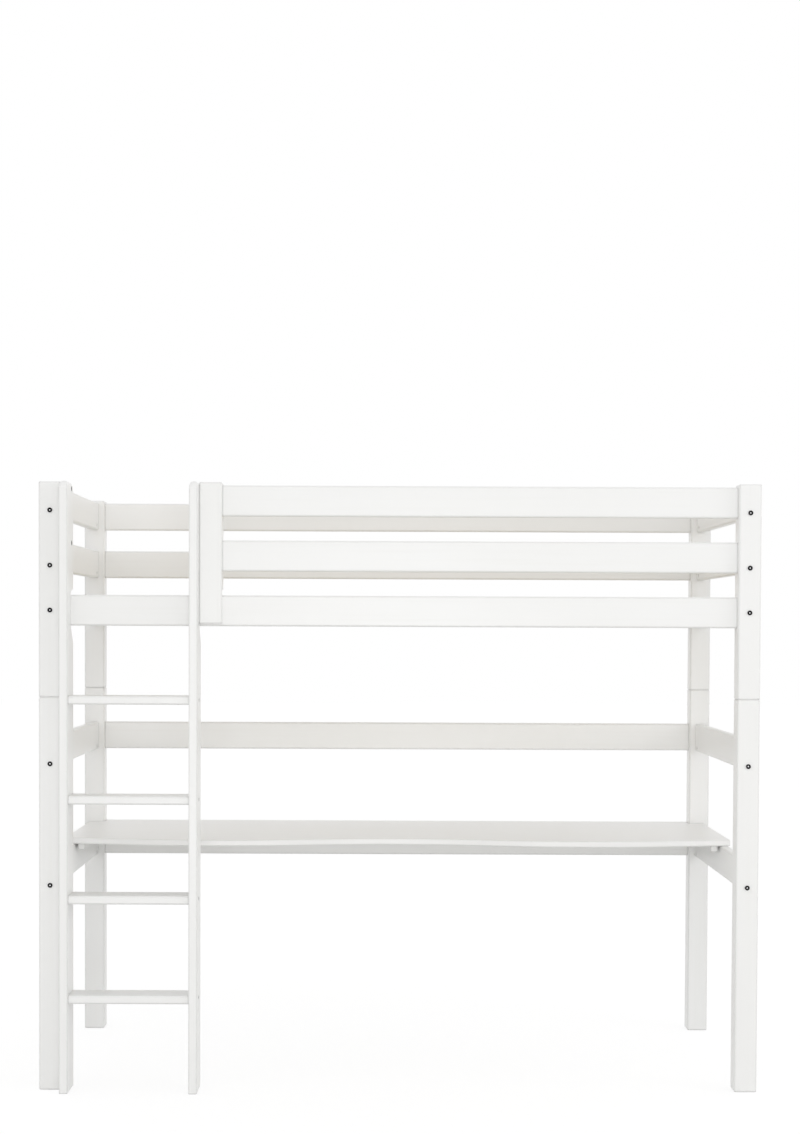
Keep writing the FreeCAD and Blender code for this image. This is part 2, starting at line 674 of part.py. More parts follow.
cleat_x = f"({POST_X} - rail_thickness / 2 - cleat_gap - cleat_width / 2)"
cleat_y = f"({end_y} + cleat_inset + cleat_length / 2)"
cleat_bottom = f"({DESK_BOTTOM} - cleat_height)"
half_length, half_width = "(cleat_length / 2)", "(cleat_width / 2)"
cleat_screws = [f"(screw_end_gap - {half_length})", f"({half_length} - screw_end_gap)"]
hold = "screw_hold + fit_gap"
for side, sign in (("left", "-"), ("right", "")):
    cleat = new_body(f"desk_cleat_{side}")
    section = new_sketch(cleat, "XY_Plane")
    draw_rectangle(section, f"-{half_width}", half_width, f"-{half_length}", half_length)
    bar = add_pad(cleat, section, "cleat_height")
    dress(cleat, "Chamfer", bar, lambda edge: level_at(edge, 0), Size="slat_bevel")
    x, y = f"{sign}{cleat_x}", f"({DESK_BACK_Y} + {cleat_y})"
    place(cleat, x, y, cleat_bottom)

    places = [("0", along) for along in cleat_screws]
    add_bores(cleat, "XY_Plane", "0", places, SCREW_BORE)
    add_bores(cleat, "XY_Plane", "0", places, SCREW_HEAD_BORE, "screw_head_height", forwards=True)
    places = [(x, f"({cleat_y} + {along})") for along in cleat_screws]
    add_bores(desk, "XY_Plane", "0", places, SCREW_BORE, hold, forwards=True)

    for along in cleat_screws:
        head = spot(x, f"{y} + {along}", cleat_bottom, ALONG_Z, ALONG_X)
        frame_screw_spots.append(("cleat_height + screw_hold", head))


# Slatted base, on ledges along the bed rails

ledge_length = f"({SIDE_LENGTH} - 2 * slat_end_gap)"
ledge_bottom = f"({BED_BOTTOM} + ledge_rise)"
screw_shares = [number / (LEDGE_SCREW_COUNT - 1) - 1 / 2 for number in range(LEDGE_SCREW_COUNT)]
screw_xs = [f"({share} * ({ledge_length} - 2 * screw_end_gap))" for share in screw_shares]
for row, y, inward in (("front", FRONT_Y, 1), ("rear", REAR_Y, -1)):
    ledge = new_body(f"slat_ledge_{row}")
    section = new_sketch(ledge, "YZ_Plane")
    draw_rectangle(section, "-ledge_width / 2", "ledge_width / 2", "0", "ledge_height")
    bar = add_pad(ledge, section, ledge_length, symmetric=True)
    inner_y = inward * value("ledge_width / 2")
    dress(
        ledge, "Chamfer", bar,
        lambda edge: straight_along(edge, ALONG_X) and abs(edge.BoundBox.YMin - inner_y) < NEAR,
        Size="slat_bevel",
    )
    ledge_y = f"({y} + {inward} * (rail_thickness + ledge_width) / 2)"
    place(ledge, "0", ledge_y, ledge_bottom)

    places = [(x, "ledge_height / 2") for x in screw_xs]
    add_bores(ledge, "XZ_Plane", "0", places, SCREW_BORE)
    offset = f"{-inward} * ledge_width / 2"
    add_bores(ledge, "XZ_Plane", offset, places, SCREW_HEAD_BORE, "screw_head_height", forwards=inward > 0)
    places = [(x, "ledge_rise + ledge_height / 2") for x in screw_xs]
    offset = f"{-inward} * rail_thickness / 2"
    add_bores(rails[f"bed_rail_{row}"], "XZ_Plane", offset, places, SCREW_BORE, hold, forwards=inward > 0)
    for x in screw_xs:
        head_y = f"{ledge_y} + {inward} * ledge_width / 2"
        head = spot(x, head_y, f"{ledge_bottom} + ledge_height / 2", ALONG_Y * -inward, ALONG_X)
        frame_screw_spots.append(("ledge_width + screw_hold", head))

slat_length = f"(bed_width - 2 * ({RAIL_SETBACK} + rail_thickness + slat_end_gap))"
slat_reach = f"({SIDE_LENGTH} - 2 * slat_first_gap - slat_width)"
for number in range(SLAT_COUNT):
    slat = new_body(f"slat_{number + 1:02d}")
    section = new_sketch(slat, "XZ_Plane")
    draw_rectangle(section, "-slat_width / 2", "slat_width / 2", "0", "slat_thickness")
    board = add_pad(slat, section, slat_length, symmetric=True)
    dress(slat, "Chamfer", board, lambda edge: straight_along(edge, ALONG_Y), Size="slat_bevel")
    share = number / (SLAT_COUNT - 1) - 1 / 2
    place(slat, f"{share} * {slat_reach}", MIDDLE_Y, f"{ledge_bottom} + ledge_height")


# Fasteners, each made once and then set out as one group
# A fastener's zero is its head's seat, and it points along +Z.

def make_prism(label, width, height, base_z="0", sides=HEX_SIDES):
    prism = doc.addObject("Part::Prism", label)
    prism.Polygon = sides
    bind(prism, Circumradius=f"{width} / 2", Height=height, Placement__Base__z=base_z)
    return prism


def combine(kind, label, base, tool):
    result = doc.addObject(f"Part::{kind}", label)
    result.Base = base
    result.Tool = tool
    doc.recompute()
    return result


def make_bolt(label, length):
    head = make_prism(f"{label}_head", "bolt_head_width", "bolt_head_height", "-bolt_head_height", HEAD_SIDES)
    socket = make_prism(f"{label}_socket", "socket_width", "socket_depth", "-bolt_head_height")
    hollow_head = combine("Cut", f"{label}_hollow_head", head, socket)
    return combine("Fuse", label, hollow_head, make_prism(f"{label}_shank", "bolt_width", length))


def make_screw(label, length):
    """A sunk screw, whose head starts level with the face that it goes in by."""
    head = make_prism(f"{label}_head", "screw_head_width", "screw_head_height")
    return combine("Fuse", label, head, make_prism(f"{label}_shank", "screw_width", length))


def set_out(label, copies):
    """One node for a group of equal fasteners: the compound of a shape placed at every spot."""
    solids = []
    for master, fastener_spot in copies:
        solid = master.Shape.copy()
        solid.Placement = fastener_spot
        solids.append(solid)
    group = node(label, doc.addObject("Part::Feature", label))
    group.Shape = Part.makeCompound(solids)


rail_bolt = make_bolt("rail_bolt", BOLT_LENGTH)
set_out("end_rail_bolts", [(rail_bolt, head) for head in end_bolt_spots])
sunk_bolt = make_bolt("sunk_bolt", f"{BOLT_LENGTH} - bolt_head_height")
side_copies = [(rail_bolt, head) for head in side_bolt_spots]
side_copies += [(sunk_bolt, head) for head in sunk_bolt_spots]
set_out("side_rail_bolts", side_copies)

ladder_bolt = make_bolt("ladder_bolt", LADDER_BOLT_LENGTH)
set_out("ladder_bolts", [(ladder_bolt, head) for head in ladder_bolt_spots])

nut_base = "rail_thickness / 2 - nut_inset - nut_length"
nut_blank = make_prism("nut_blank", "nut_width", "nut_length", nut_base)
nut_hole = make_prism("nut_hole", "(bolt_width + 2 * fit_gap)", "2 * nut_width")
nut_hole.Placement = FreeCAD.Placement(Vector(), aimed(ALONG_X, ALONG_Z))
bind(nut_hole, Placement__Base__x="-nut_width")
nut = combine("Cut", "barrel_nut", nut_blank, nut_hole)
set_out("barrel_nuts", [(nut, middle) for middle in nut_spots])

insert_blank = make_prism("insert_blank", "insert_width", "insert_length")
insert_hole = make_prism("insert_hole", "(bolt_width + 2 * fit_gap)", "insert_length")
insert = combine("Cut", "ladder_insert", insert_blank, insert_hole)
set_out("ladder_inserts", [(insert, mouth) for mouth in insert_spots])

pin = make_prism("post_pin", "pin_width", "pin_length")
doc.recompute()
set_out("post_pins", [(pin, low_end) for low_end in pin_spots])

frame_screws = {}
for length, head in frame_screw_spots:
    if length not in frame_screws:
        frame_screws[length] = make_screw(f"frame_screw_{len(frame_screws) + 1}", length)
set_out("frame_screws", [(frame_screws[length], head) for length, head in frame_screw_spots])


# Check and write

doc.recompute()
for thing in doc.Objects:
    if "Invalid" in thing.State or "Error" in thing.State:
        raise RuntimeError(f"{thing.Label} did not build: {thing.State}")
for thing in nodes:
    if thing.Shape.isNull() or not thing.Shape.isValid() or not thing.Shape.Solids:
        raise RuntimeError(f"{thing.Label} has no valid solid")

os.makedirs("parts", exist_ok=True)
for thing in nodes:
    thing.Shape.exportStep(f"parts/{thing.Label}.step")
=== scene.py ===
"""Looks of the loft bed: white lacquered wood, bare pine slats, black bolts and nuts, zinc screws."""
import math

import bmesh
import bpy
from mathutils import Matrix, Vector


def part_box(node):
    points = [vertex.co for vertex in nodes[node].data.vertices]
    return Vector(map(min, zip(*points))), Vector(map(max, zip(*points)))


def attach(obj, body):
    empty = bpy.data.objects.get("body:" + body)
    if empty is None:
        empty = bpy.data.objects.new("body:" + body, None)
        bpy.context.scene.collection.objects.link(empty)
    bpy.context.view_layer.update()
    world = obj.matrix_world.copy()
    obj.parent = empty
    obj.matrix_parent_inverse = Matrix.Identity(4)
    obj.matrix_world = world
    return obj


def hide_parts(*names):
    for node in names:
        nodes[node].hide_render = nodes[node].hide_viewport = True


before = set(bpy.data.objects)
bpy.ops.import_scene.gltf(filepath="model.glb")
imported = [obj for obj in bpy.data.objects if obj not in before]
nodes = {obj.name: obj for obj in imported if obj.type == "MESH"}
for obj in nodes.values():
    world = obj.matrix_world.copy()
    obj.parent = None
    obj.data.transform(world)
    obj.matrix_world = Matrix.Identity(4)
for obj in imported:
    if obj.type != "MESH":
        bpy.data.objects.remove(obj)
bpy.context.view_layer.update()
scene = bpy.context.scene

MM = 0.001
AXES = range(3)
AXIS_NAMES = "XYZ"
UPRIGHT = 2
FULL_TURN = 2 * math.pi
QUARTER_TURN = FULL_TURN / 4
OPAQUE = 1.0
WHITE = (1.0, 1.0, 1.0)

# Bolts with a hexagon socket, in metres as all sizes here
BOLT_HEAD_RADIUS = 7 * MM
BOLT_HEAD_HEIGHT = 4 * MM
BOLT_HEAD_ROUND = 1.2 * MM
BOLT_HEAD_STEPS = 3
BOLT_RADIUS = 3 * MM
BOLT_TIP = BOLT_RADIUS / 4
SOCKET_RADIUS = 3 * MM
SOCKET_FLOOR_RADIUS = 2.1 * MM
SOCKET_DEPTH = 2.5 * MM
SOCKET_LIP = 0.2 * MM

# Barrel nuts with a slot in one end
NUT_RADIUS = 4.5 * MM
NUT_EDGE = 0.5 * MM
NUT_SLOT_REACH = 3.8 * MM
NUT_SLOT_HALF = 0.7 * MM
NUT_SLOT_DEPTH = 1.5 * MM

# Screws with a cross recess
SCREW_HEAD_RADIUS = 4.4 * MM
SCREW_RIM = 0.5 * MM
SCREW_RADIUS = 2.4 * MM
SCREW_POINT = 2 * SCREW_RADIUS
SCREW_TIP_RADIUS = SCREW_RADIUS / 4
CROSS_REACH = 2.3 * MM
CROSS_HALF = 0.55 * MM
CROSS_DEPTH = 1.6 * MM
RUNG_SCREW_HEAD_RADIUS = 5.4 * MM
RUNG_SCREW_SINK = 0.2 * MM
RUNG_SCREW_LENGTH = 60 * MM

# Ladder stiles with a notch for the bed rail and with mortises for the rungs
RUNG_COUNT = 4
STILE_TOP_ROUND = 25 * MM
STILE_EDGE_ROUND = 2.5 * MM
STILE_DOME_ROUND = 11 * MM
STILE_BACK_TO_RAIL = 47 * MM
NOTCH_LOW = 1307 * MM
NOTCH_FLAT_LOW = 1355 * MM
NOTCH_FLAT_HIGH = 1456 * MM
NOTCH_HIGH = 1466 * MM
NOTCH_ROUND = 14 * MM
COUNTERSINK_RADIUS = 5.8 * MM
COUNTERSINK_DEPTH = 3 * MM
COUNTERBORE_RADIUS = 7.3 * MM
CUTTER_OVERSHOOT = 3 * MM
MORTISE_LENGTH = 12.3 * MM
MORTISE_DEPTH = 70.6 * MM
MORTISE_THICKNESS = 13.6 * MM

# How shapes are divided, rounded and shaded
WELD = 0.01 * MM
END_REACH = 10 * WELD
ORDER_DIGITS = 4
ROUND_SIDES = 32
ARC_STEPS = 8
EDGE_STEPS = 6
SPREAD_ANGLE = math.radians(137.5)
FLAT_ANGLE = math.radians(1)
BEVEL_ANGLE = math.radians(45)
BEVEL_SPREAD = math.radians(12)
SHARP_ANGLE = math.radians(40)
STILE_SHARP_ANGLE = math.radians(35)
EDGE_SOFTNESS = 1.2 * MM
EDGE_SEGMENTS = 3
FLATS_WEIGHT = 100

# Ranges for shader values; the middle of a noise holds most of its values
RISING = (0.0, 1.0)
FALLING = (1.0, 0.0)
NOISE_MIDDLE = (0.3, 0.7)

# White lacquer; patterns are in repeats per metre along the grain and across it
LACQUER_LIGHT = (0.885, 0.885, 0.879)
LACQUER_SHADE = (0.865, 0.864, 0.854)
GRAIN_SHADE = (0.852, 0.849, 0.834)
# Painted shade: near convex edges the lacquer colour is greyed towards this colour, to stand in for the
# shade that outlines them
PAINTED_EDGE_SHADE = (0.600, 0.601, 0.595)
EDGE_REACH = 4.5 * MM
EDGE_SAMPLES = 8
EDGE_OCCLUSION = (0.5, 1.0)
TONE = {"along": 1.7, "across": 1.7}
GRAIN = {"along": 1.6, "across": 75.0, "detail": 5.0, "roughness": 0.6, "distortion": 0.6}
GRAIN_MIDDLE = (0.52, 0.75)
GRAIN_SHARE = (0.0, 0.55)
BRUSH = {"along": 9.0, "across": 520.0}
PEEL = {"along": 420.0, "across": 420.0, "detail": 1.0}
LACQUER_ROUGHNESS = (0.30, 0.40)
GRAIN_BUMP = {"Strength": 0.22, "Distance": 0.35 * MM}
BRUSH_BUMP = {"Strength": 0.10, "Distance": 0.08 * MM}
PEEL_BUMP = {"Strength": 0.16, "Distance": 0.10 * MM}

# Bare wood of the slats and the pins
PINE_LIGHT = (0.78, 0.69, 0.51)
PINE_DARK = (0.62, 0.51, 0.33)
BEECH_LIGHT = (0.66, 0.45, 0.27)
BEECH_DARK = (0.48, 0.29, 0.15)
KNOT_COLOUR = (0.28, 0.17, 0.08)
RINGS = {"Scale": 1.0, "Distortion": 5.0, "Detail": 3.0, "Detail Scale": 0.6, "Detail Roughness": 0.55}
RING_PLACES = {"along": 1.1, "across": 13.0}
RING_MIDDLE = (0.1, 0.95)
FIBRES = {"along": 14.0, "across": 620.0, "detail": 3.0, "roughness": 0.65}
FIBRE_SHARE = (0.0, 0.35)
KNOTS = {"Scale": 1.0}
KNOT_PLACES = {"along": 3.1, "across": 9.0}
KNOT_RIM = (0.04, 0.10)
WOOD_ROUGHNESS = (0.52, 0.68)
RING_BUMP = {"Strength": 0.12, "Distance": 0.3 * MM}
FIBRE_BUMP = {"Strength": 0.25, "Distance": 0.2 * MM}

# Metals
PATCHES = {"along": 260.0, "across": 260.0, "detail": 3.0}
SCUFFS = {"along": 1900.0, "across": 1900.0}
SCUFF_BUMP = {"Strength": 0.12, "Distance": 0.03 * MM}
BLACK_FINISH = {
    "light": (0.008, 0.008, 0.009),
    "dark": (0.004, 0.004, 0.005),
    "roughness": (0.34, 0.50),
    "metallic": 0.0,
    "ior": 1.22,
}
SOCKET_FINISH = {"light": (0.72, 0.72, 0.73), "dark": (0.62, 0.62, 0.63), "roughness": (0.26, 0.42)}
ZINC_FINISH = {"light": (0.58, 0.59, 0.61), "dark": (0.47, 0.47, 0.46), "roughness": (0.26, 0.44)}

# Floor and light; the floor has one colour that lights the bed and another that is seen
FLOOR_DROP = 0.3 * MM
FLOOR_REACH = 30
FLOOR_COLOUR = (0.68, 0.678, 0.662)
FLOOR_SHOWN = (0.25, 0.25, 0.25)
FLOOR_GLOW = 0.80
SKY_STRENGTH = (1.31, 0.60)
LIGHTS = {
    "front": {"place": (0.0, -7.0, 0.7), "size": 1.6, "energy": 64.0},
    "side": {"place": (6.0, -2.5, 2.4), "size": 3.0, "energy": 42.0},
}
LIGHT_TARGET = Vector((0.0, 0.0, 1.0))

# The camera stands where the photograph was taken from
PICTURE_WIDTH = 800
PICTURE_HEIGHT = 1134
FOCAL_PIXELS = 2077.025
CENTRE_PIXEL = (387.16, 689.47)
CAMERA_PLACE = (-0.05117, -6.5161, 1.36059)
CAMERA_YAW = 0.00246
CAMERA_PITCH = -0.03055
CAMERA_ROLL = 0.00416
SENSOR = 36.0


# Materials

def add_node(tree, kind, **settings):
    made = tree.nodes.new(kind)
    for name, setting in settings.items():
        setattr(made, name, setting)
    return made


def set_inputs(made, settings):
    for name, setting in settings.items():
        made.inputs[name].default_value = setting


def new_material(name, metallic=0.0, ior=1.5):
    material = bpy.data.materials.new(name)
    material.use_nodes = True
    shader = material.node_tree.nodes["Principled BSDF"]
    set_inputs(shader, {"Metallic": metallic, "IOR": ior})
    return material, material.node_tree, shader


def stretched(tree, axis, along, across):
    """The object's own coordinates, scaled along an axis and across it."""
    place = add_node(tree, "ShaderNodeTexCoord")
    mapping = add_node(tree, "ShaderNodeMapping")
    mapping.inputs["Scale"].default_value = [along if number == axis else across for number in AXES]
    tree.links.new(place.outputs["Object"], mapping.inputs["Vector"])
    return mapping.outputs["Vector"]


def noise(tree, axis, along, across, detail=2.0, roughness=0.5, distortion=0.0):
    made = add_node(tree, "ShaderNodeTexNoise")
    set_inputs(made, {"Scale": 1.0, "Detail": detail, "Roughness": roughness, "Distortion": distortion})
    tree.links.new(stretched(tree, axis, along, across), made.inputs["Vector"])
    return made.outputs["Fac"]


def blend_colours(tree, factor, first, second):
    """A colour between two others, which are colours or sockets."""
    mix = add_node(tree, "ShaderNodeMix", data_type="RGBA")
    tree.links.new(factor, mix.inputs["Factor"])
    for name, colour in (("A", first), ("B", second)):
        socket = next(s for s in mix.inputs if s.name == name and s.type == "RGBA")
        if isinstance(colour, tuple):
            socket.default_value = (*colour, OPAQUE)
        else:
            tree.links.new(colour, socket)
    return next(s for s in mix.outputs if s.type == "RGBA")


def spread(tree, factor, values, limits=NOISE_MIDDLE):
    """A factor between two limits, spread between two values."""
    made = add_node(tree, "ShaderNodeMapRange")
    start, end = limits
    low, high = values
    set_inputs(made, {"From Min": start, "From Max": end, "To Min": low, "To Max": high})
    tree.links.new(factor, made.inputs["Value"])
    return made.outputs["Result"]


def bump(tree, shader, layers):
    """Heights laid over each other, each with its strength and its depth."""
    below = None
    for height, settings in layers:
        made = add_node(tree, "ShaderNodeBump")
        set_inputs(made, settings)
        tree.links.new(height, made.inputs["Height"])
        if below:
            tree.links.new(below, made.inputs["Normal"])
        below = made.outputs["Normal"]
    tree.links.new(below, shader.inputs["Normal"])


def make_lacquer(axis):
    """White satin lacquer with painted shade along its edges, a faint grain along an axis and an orange
    peel.
    """
    material, tree, shader = new_material(f"white_lacquer_{AXIS_NAMES[axis].lower()}")
    tone = spread(tree, noise(tree, axis, **TONE), RISING)
    grain = noise(tree, axis, **GRAIN)
    peel = noise(tree, axis, **PEEL)
    brush = noise(tree, axis, **BRUSH)
    colour = blend_colours(tree, tone, LACQUER_LIGHT, LACQUER_SHADE)
    colour = blend_colours(tree, spread(tree, grain, GRAIN_SHARE, GRAIN_MIDDLE), colour, GRAIN_SHADE)
    # Painted shade: occlusion traced inside the board finds its edges, and the colour is greyed there
    inside = add_node(tree, "ShaderNodeAmbientOcclusion", inside=True, only_local=True)
    inside.samples = EDGE_SAMPLES
    inside.inputs["Distance"].default_value = EDGE_REACH
    edges = spread(tree, inside.outputs["AO"], FALLING, EDGE_OCCLUSION)
    colour = blend_colours(tree, edges, colour, PAINTED_EDGE_SHADE)
    tree.links.new(colour, shader.inputs["Base Color"])
    tree.links.new(spread(tree, brush, LACQUER_ROUGHNESS), shader.inputs["Roughness"])
    bump(tree, shader, [(grain, GRAIN_BUMP), (brush, BRUSH_BUMP), (peel, PEEL_BUMP)])
    return material


def make_wood(name, axis, light, dark):
    """Planed wood with growth rings along an axis, fibres, and a knot here and there."""
    material, tree, shader = new_material(name)
    rings = add_node(tree, "ShaderNodeTexWave", wave_type="RINGS", rings_direction=AXIS_NAMES[axis])
    set_inputs(rings, RINGS)
    tree.links.new(stretched(tree, axis, **RING_PLACES), rings.inputs["Vector"])
    fibres = noise(tree, axis, **FIBRES)
    knots = add_node(tree, "ShaderNodeTexVoronoi")
    set_inputs(knots, KNOTS)
    tree.links.new(stretched(tree, axis, **KNOT_PLACES), knots.inputs["Vector"])
    colour = blend_colours(tree, spread(tree, rings.outputs["Fac"], RISING, RING_MIDDLE), light, dark)
    colour = blend_colours(tree, spread(tree, fibres, FIBRE_SHARE), colour, dark)
    near_knot = spread(tree, knots.outputs["Distance"], FALLING, KNOT_RIM)
    colour = blend_colours(tree, near_knot, colour, KNOT_COLOUR)
    tree.links.new(colour, shader.inputs["Base Color"])
    tree.links.new(spread(tree, fibres, WOOD_ROUGHNESS), shader.inputs["Roughness"])
    bump(tree, shader, [(rings.outputs["Fac"], RING_BUMP), (fibres, FIBRE_BUMP)])
    return material


def make_metal(name, light, dark, roughness, metallic=1.0, ior=1.5):
    """Plated or blackened steel, slightly uneven in colour and polish."""
    material, tree, shader = new_material(name, metallic, ior)
    patches = noise(tree, UPRIGHT, **PATCHES)
    scuffs = noise(tree, UPRIGHT, **SCUFFS)
    colour = blend_colours(tree, spread(tree, patches, RISING), light, dark)
    tree.links.new(colour, shader.inputs["Base Color"])
    tree.links.new(spread(tree, scuffs, roughness), shader.inputs["Roughness"])
    bump(tree, shader, [(scuffs, SCUFF_BUMP)])
    return material


lacquer = [make_lacquer(axis) for axis in AXES]
pine = [make_wood(f"slat_wood_{AXIS_NAMES[axis].lower()}", axis, PINE_LIGHT, PINE_DARK) for axis in AXES]
pin_wood = make_wood("pin_wood", UPRIGHT, BEECH_LIGHT, BEECH_DARK)
black_bolt = make_metal("black_bolt", **BLACK_FINISH)
bright_socket = make_metal("bolt_socket", **SOCKET_FINISH)
zinc_steel = make_metal("zinc_steel", **ZINC_FINISH)
board_finishes = {"white_lacquer": lacquer, "slat_wood": pine}
plain_finishes = {"pin_wood": pin_wood, "black_bolt": black_bolt, "zinc_steel": zinc_steel}


# The part's own solids keep their shape, and the boards get the edges of their bevels softened

def longest_axis(low, high):
    reach = high - low
    return max(AXES, key=lambda axis: reach[axis])


def make_edge_marks(mark, kind, test, limits):
    """A modifier's node group that smooths a shape and marks its edges by a test of their angle."""
    group = bpy.data.node_groups.new(mark, "GeometryNodeTree")
    for way in ("INPUT", "OUTPUT"):
        group.interface.new_socket("Geometry", in_out=way, socket_type="NodeSocketGeometry")
    compare = add_node(group, "FunctionNodeCompare", data_type="FLOAT", operation=test)
    set_inputs(compare, limits)
    smooth = add_node(group, "GeometryNodeSetShadeSmooth")
    store = add_node(group, "GeometryNodeStoreNamedAttribute", data_type=kind, domain="EDGE")
    store.inputs["Name"].default_value = mark
    angle = add_node(group, "GeometryNodeInputMeshEdgeAngle")
    group.links.new(angle.outputs["Unsigned Angle"], compare.inputs["A"])
    group.links.new(compare.outputs["Result"], store.inputs["Value"])
    group.links.new(add_node(group, "NodeGroupInput").outputs["Geometry"], smooth.inputs["Geometry"])
    group.links.new(smooth.outputs["Geometry"], store.inputs["Geometry"])
    group.links.new(store.outputs["Geometry"], add_node(group, "NodeGroupOutput").inputs["Geometry"])
    return group


def even_normals(thing):
    """Lets the large flats of a shape lead its shading."""
    normals = thing.modifiers.new("even_normals", "WEIGHTED_NORMAL")
    normals.weight = FLATS_WEIGHT
    normals.keep_sharp = True


bevel_limits = {"B": BEVEL_ANGLE, "Epsilon": BEVEL_SPREAD}
bevel_marks = make_edge_marks("bevel_weight_edge", "FLOAT", "EQUAL", bevel_limits)
sharp_marks = make_edge_marks("sharp_edge", "BOOLEAN", "GREATER_THAN", {"B": SHARP_ANGLE})


def soften_edges(thing):
    """Rounds the edges of a board's bevels."""
    weld = thing.modifiers.new("weld", "WELD")
    weld.merge_threshold = WELD
    flats = thing.modifiers.new("flats", "DECIMATE")
    flats.decimate_type = "DISSOLVE"
    flats.angle_limit = FLAT_ANGLE
    thing.modifiers.new("bevel_marks", "NODES").node_group = bevel_marks
    soft = thing.modifiers.new("soft_edges", "BEVEL")
    soft.width = EDGE_SOFTNESS
    soft.segments = EDGE_SEGMENTS
    soft.limit_method = "WEIGHT"
    thing.modifiers.new("sharp_marks", "NODES").node_group = sharp_marks
    even_normals(thing)


for solid_name, solid in nodes.items():
    finish = solid.material_slots[0]
    slot_name = finish.material.name
    if slot_name in board_finishes:
        finish.material = board_finishes[slot_name][longest_axis(*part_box(solid_name))]
        soften_edges(solid)
    else:
        finish.material = plain_finishes[slot_name]


# Round fasteners, turned about +Z with their heads at zero

def circle(radius):
    return lambda turn: radius


def hexagon(radius):
    """A hexagon with its corners at a radius."""
    sixth = FULL_TURN / 6
    return lambda turn: radius * math.cos(sixth / 2) / math.cos(turn % sixth - sixth / 2)


def cross(reach, half_width):
    """A cross with four arms."""
    def radius(turn):
        aside = min(abs(math.sin(turn)), abs(math.cos(turn)))
        return min(reach, half_width / max(aside, half_width / reach))
    return radius


def groove(reach, half_width):
    """A straight slot."""
    return lambda turn: min(reach, half_width / max(abs(math.sin(turn)), half_width / reach))


def add_turned(bm, rings, place, inner_rings=0):
    """Add rings of (outline, depth), joined and closed; the first ones take the second material."""
    turns = [FULL_TURN * side / ROUND_SIDES for side in range(ROUND_SIDES)]
    rows = []
    for outline, depth in rings:
        points = [Vector((math.cos(t) * outline(t), math.sin(t) * outline(t), depth)) for t in turns]
        rows.append([bm.verts.new(place @ point) for point in points])
    for number, (row, following) in enumerate(zip(rows, rows[1:])):
        for side in range(ROUND_SIDES):
            after = (side + 1) % ROUND_SIDES
            face = bm.faces.new((row[side], row[after], following[after], following[side]))
            face.material_index = 1 if number < inner_rings else 0
    cap = bm.faces.new(rows[0][::-1])
    cap.material_index = 1 if inner_rings else 0
    bm.faces.new(rows[-1])


def bolt_rings(length):
    rings = [
        (hexagon(SOCKET_FLOOR_RADIUS), SOCKET_DEPTH),
        (hexagon(SOCKET_FLOOR_RADIUS), SOCKET_DEPTH - SOCKET_LIP),
        (hexagon(SOCKET_RADIUS), SOCKET_LIP),
        (hexagon(SOCKET_RADIUS + SOCKET_LIP), 0),
    ]
    for step in range(BOLT_HEAD_STEPS + 1):
        turn = QUARTER_TURN * step / BOLT_HEAD_STEPS
        radius = BOLT_HEAD_RADIUS - BOLT_HEAD_ROUND * (1 - math.sin(turn))
        rings.append((circle(radius), BOLT_HEAD_ROUND * (1 - math.cos(turn))))
    rings.append((circle(BOLT_HEAD_RADIUS), BOLT_HEAD_HEIGHT))
    rings.append((circle(BOLT_RADIUS), BOLT_HEAD_HEIGHT))
    rings.append((circle(BOLT_RADIUS), length - BOLT_TIP))
    rings.append((circle(BOLT_RADIUS - BOLT_TIP), length))
    return rings


def screw_rings(length, head_radius=SCREW_HEAD_RADIUS):
    return [
        (cross(CROSS_REACH / 2, CROSS_HALF / 2), CROSS_DEPTH),
        (cross(CROSS_REACH, CROSS_HALF), 0),
        (circle(head_radius), 0),
        (circle(head_radius), SCREW_RIM),
        (circle(SCREW_RADIUS), SCREW_RIM + head_radius - SCREW_RADIUS),
        (circle(SCREW_RADIUS), length - SCREW_POINT),
        (circle(SCREW_TIP_RADIUS), length),
    ]


def nut_rings(length):
    return [
        (groove(NUT_SLOT_REACH, NUT_SLOT_HALF), NUT_SLOT_DEPTH),
        (groove(NUT_SLOT_REACH, NUT_SLOT_HALF), 0),
        (circle(NUT_RADIUS - NUT_EDGE), 0),
        (circle(NUT_RADIUS), NUT_EDGE),
        (circle(NUT_RADIUS), length - NUT_EDGE),
        (circle(NUT_RADIUS - NUT_EDGE), length),
    ]


def bore_rings(radius, depth):
    """A straight cutter that starts above the surface."""
    return [(circle(radius), -CUTTER_OVERSHOOT), (circle(radius), depth)]


def loose_solids(node):
    """The corner points of each loose solid of a node, in the order of their places."""
    bm = bmesh.new()
    bm.from_mesh(nodes[node].data)
    bmesh.ops.remove_doubles(bm, verts=bm.verts, dist=WELD)
    left = set(bm.verts)
    solids = []
    while left:
        found = [left.pop()]
        for vert in found:
            for edge in vert.link_edges:
                other = edge.other_vert(vert)
                if other in left:
                    left.remove(other)
                    found.append(other)
        solids.append([vert.co.copy() for vert in found])
    bm.free()

    def place_order(points):
        return [round(sum(p[a] for p in points), ORDER_DIGITS) for a in AXES]

    return sorted(solids, key=place_order)


def aim(start, direction, spin):
    """A place whose +Z runs along a direction, turned about it."""
    turned = direction.to_track_quat("Z", "Y").to_matrix().to_4x4()
    return Matrix.Translation(start) @ turned @ Matrix.Rotation(spin, 4, "Z")


def solid_axis(points):
    """Where a fastener's head is, the way it points, and its length."""
    low = Vector([min(p[a] for p in points) for a in AXES])
    high = Vector([max(p[a] for p in points) for a in AXES])
    axis = longest_axis(low, high)
    middle = (low + high) / 2
    ends = {}
    for level in (low[axis], high[axis]):
        rim = [p for p in points if abs(p[axis] - level) < END_REACH]
        ends[level] = max((p - middle).length_squared - (p[axis] - middle[axis]) ** 2 for p in rim)
    head = max(ends, key=ends.get)
    direction = Vector((0, 0, 0))
    direction[axis] = 1 if head == low[axis] else -1
    middle[axis] = head
    return middle, direction, high[axis] - low[axis]


